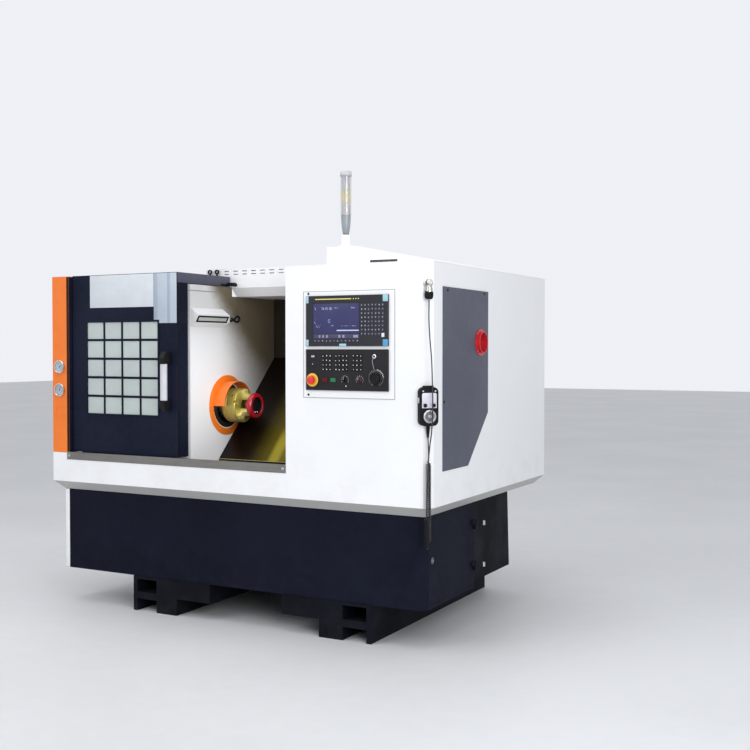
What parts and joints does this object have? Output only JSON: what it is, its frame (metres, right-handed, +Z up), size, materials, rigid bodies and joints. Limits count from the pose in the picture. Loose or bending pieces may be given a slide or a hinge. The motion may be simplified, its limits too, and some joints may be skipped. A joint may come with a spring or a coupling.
{
  "type": "cnc turning lathe",
  "caption": "Slant-bed turning lathe in a white sheet enclosure on a navy base, with sliding door, chuck, turret, operator panel, signal lamp and corded pendant.",
  "frame": {"origin": "middle of the footprint on the floor, without the pendant's cord", "axes": "+X to the operator's right along the machine, +Y from the operator towards the back, +Z up"},
  "size_m": [2.2668, 1.5422, 2.1903],
  "materials": {
    "white_enclosure_paint": "satin light white",
    "orange_paint": "satin orange",
    "ground_steel": "ground bright",
    "brushed_steel": "brushed",
    "slate_grey_paint": "satin slate grey",
    "red_collar": "red",
    "painted_casting": "painted casting",
    "navy_textured_paint": "fine textured dark navy",
    "dark_wall_paint": "dark, oily",
    "filmed_stainless": "steel under a dried brown-gold coolant film",
    "clear_lens": "clear",
    "oiled_chuck_steel": "oiled, olive-gold",
    "jaw_steel": "oiled, gold",
    "red_ring": "glossy red",
    "black_plastic": "matt black",
    "machined_iron": "machined",
    "turret_steel": "ground",
    "pale_green_glass": "clear, faintly green",
    "pale_grip": "pale grey",
    "charcoal_panel": "matt charcoal",
    "red_button": "red",
    "green_button": "green",
    "silver_wheel": "silver",
    "chrome": "polished"
  },
  "bodies": {
    "machine": {"control_cabinet": "white_enclosure_paint", "lower_front_panel": "white_enclosure_paint", "rear_enclosure": "white_enclosure_paint", "cabinet_roof": "white_enclosure_paint", "chamber_roof": "white_enclosure_paint", "corner_column": "orange_paint", "gauge_upper": "ground_steel", "gauge_lower": "ground_steel", "door_sill": "brushed_steel", "side_cover": "slate_grey_paint", "hose_collar": "red_collar", "bed_casting": "painted_casting", "base_cabinet": "navy_textured_paint", "coolant_tank": "brushed_steel", "headstock_cover": "white_enclosure_paint", "partition_wall": "white_enclosure_paint", "chuck_guard": "orange_paint", "rear_inner_wall": "dark_wall_paint", "way_cover_fixed": "filmed_stainless", "work_lamp": "white_enclosure_paint", "signal_lamp_base": "white_enclosure_paint", "signal_lamp_lens": "clear_lens", "headstock": "painted_casting", "spindle_motor": "slate_grey_paint", "drive_belt": "black_plastic", "panel_plate": "white_enclosure_paint", "display_unit": "charcoal_panel", "keypad_unit": "charcoal_panel", "pendant_body": "black_plastic", "pendant_gland": "chrome", "cord_drop": "black_plastic", "cord_lead": "black_plastic", "cord_coil": "black_plastic"},
    "door": {"sliding_door": "navy_textured_paint", "window_glass": "pale_green_glass", "door_handle": "black_plastic", "handle_grip": "pale_grip"},
    "spindle": {"spindle": "ground_steel", "chuck_body": "oiled_chuck_steel", "gripped_ring": "red_ring"},
    "jaw_1": {"jaw_1": "jaw_steel"},
    "jaw_2": {"jaw_2": "jaw_steel"},
    "jaw_3": {"jaw_3": "jaw_steel"},
    "motor_pulley": {"motor_pulley": "ground_steel"},
    "z_screw": {"z_ball_screw": "ground_steel"},
    "carriage": {"saddle": "machined_iron", "way_cover_moving": "filmed_stainless"},
    "cross_slide": {"cross_slide": "machined_iron"},
    "turret": {"turret_disc": "turret_steel"},
    "base_side_door": {"base_side_door": "navy_textured_paint"},
    "door_lock": {"side_door_lock": "ground_steel"},
    "emergency_stop": {"emergency_stop": "red_button"},
    "stop_button": {"stop_button": "red_button"},
    "start_button": {"start_button": "green_button"},
    "mode_knob": {"mode_knob": "black_plastic"},
    "override_knob": {"override_knob": "black_plastic"},
    "feed_dial": {"feed_dial": "black_plastic"},
    "pendant_wheel": {"pendant_wheel": "silver_wheel"},
    "pendant_axis_knob": {"pendant_axis_knob": "black_plastic"},
    "pendant_step_knob": {"pendant_step_knob": "black_plastic"}
  },
  "joints": [
    {"name": "door_slide", "type": "slide", "parent": "machine", "child": "door", "axis": [1, 0, 0], "range_m": [0, 0.655]},
    {"name": "spindle_turn", "type": "hinge", "parent": "machine", "child": "spindle", "pos_m": [-0.18742, -0.30192, 1.056], "axis": [1, 0, 0], "continuous": true},
    {"name": "jaw_1_slide", "type": "slide", "parent": "spindle", "child": "jaw_1", "axis": [0, 0.9659, -0.2588], "range_m": [0, 0.005]},
    {"name": "jaw_2_slide", "type": "slide", "parent": "spindle", "child": "jaw_2", "axis": [0, -0.2588, 0.9659], "range_m": [0, 0.005]},
    {"name": "jaw_3_slide", "type": "slide", "parent": "spindle", "child": "jaw_3", "axis": [0, -0.7071, -0.7071], "range_m": [0, 0.005]},
    {"name": "motor_turn", "type": "hinge", "parent": "machine", "child": "motor_pulley", "pos_m": [-0.84742, 0.23108, 1.01], "axis": [1, 0, 0], "continuous": true},
    {"name": "saddle_slide", "type": "slide", "parent": "machine", "child": "carriage", "axis": [-1, 0, 0], "range_m": [0, 0.33]},
    {"name": "z_screw_turn", "type": "hinge", "parent": "machine", "child": "z_screw", "pos_m": [0.30258, -0.01757, 1.01399], "axis": [1, 0, 0], "range_deg": [0, 11881]},
    {"name": "cross_slide_travel", "type": "slide", "parent": "carriage", "child": "cross_slide", "axis": [0, -0.7071, -0.7071], "range_m": [0, 0.18]},
    {"name": "turret_index", "type": "hinge", "parent": "cross_slide", "child": "turret", "pos_m": [0.64258, -0.04736, 1.31056], "axis": [1, 0, 0], "continuous": true},
    {"name": "side_door_hinge", "type": "hinge", "parent": "machine", "child": "base_side_door", "pos_m": [1.06608, -0.13592, 0.496], "axis": [0, 0, 1], "range_deg": [0, 110]},
    {"name": "side_door_lock_turn", "type": "hinge", "parent": "base_side_door", "child": "door_lock", "pos_m": [1.05758, -0.61092, 0.398], "axis": [-1, 0, 0], "range_deg": [0, 90]},
    {"name": "emergency_stop_press", "type": "slide", "parent": "machine", "child": "emergency_stop", "axis": [0, 1, 0], "range_m": [0, 0.005]},
    {"name": "stop_button_press", "type": "slide", "parent": "machine", "child": "stop_button", "axis": [0, 1, 0], "range_m": [0, 0.003], "stiffness_N_per_m": 300, "springref_m": -0.002},
    {"name": "start_button_press", "type": "slide", "parent": "machine", "child": "start_button", "axis": [0, 1, 0], "range_m": [0, 0.003], "stiffness_N_per_m": 300, "springref_m": -0.002},
    {"name": "mode_knob_turn", "type": "hinge", "parent": "machine", "child": "mode_knob", "pos_m": [0.67858, -0.74152, 1.215], "axis": [0, -1, 0], "range_deg": [-60, 120]},
    {"name": "override_knob_turn", "type": "hinge", "parent": "machine", "child": "override_knob", "pos_m": [0.75458, -0.74152, 1.215], "axis": [0, -1, 0], "range_deg": [-120, 60]},
    {"name": "feed_dial_turn", "type": "hinge", "parent": "machine", "child": "feed_dial", "pos_m": [0.83858, -0.74152, 1.224], "axis": [0, -1, 0], "range_deg": [-90, 180]},
    {"name": "pendant_wheel_turn", "type": "hinge", "parent": "machine", "child": "pendant_wheel", "pos_m": [1.10367, -0.74133, 1.06], "axis": [0.7071, -0.7071, 0], "continuous": true},
    {"name": "pendant_axis_knob_turn", "type": "hinge", "parent": "machine", "child": "pendant_axis_knob", "pos_m": [1.08953, -0.75547, 1.108], "axis": [0.7071, -0.7071, 0], "range_deg": [-60, 60]},
    {"name": "pendant_step_knob_turn", "type": "hinge", "parent": "machine", "child": "pendant_step_knob", "pos_m": [1.11781, -0.72719, 1.108], "axis": [0.7071, -0.7071, 0], "range_deg": [-60, 60]}
  ],
  "couplings": [
    {"joint": "jaw_2_slide", "follows": "jaw_1_slide", "ratio": 1},
    {"joint": "jaw_3_slide", "follows": "jaw_1_slide", "ratio": 1},
    {"joint": "motor_turn", "follows": "spindle_turn", "ratio": 1.5385},
    {"joint": "z_screw_turn", "follows": "saddle_slide", "rad_per_m": 628.32}
  ]
}
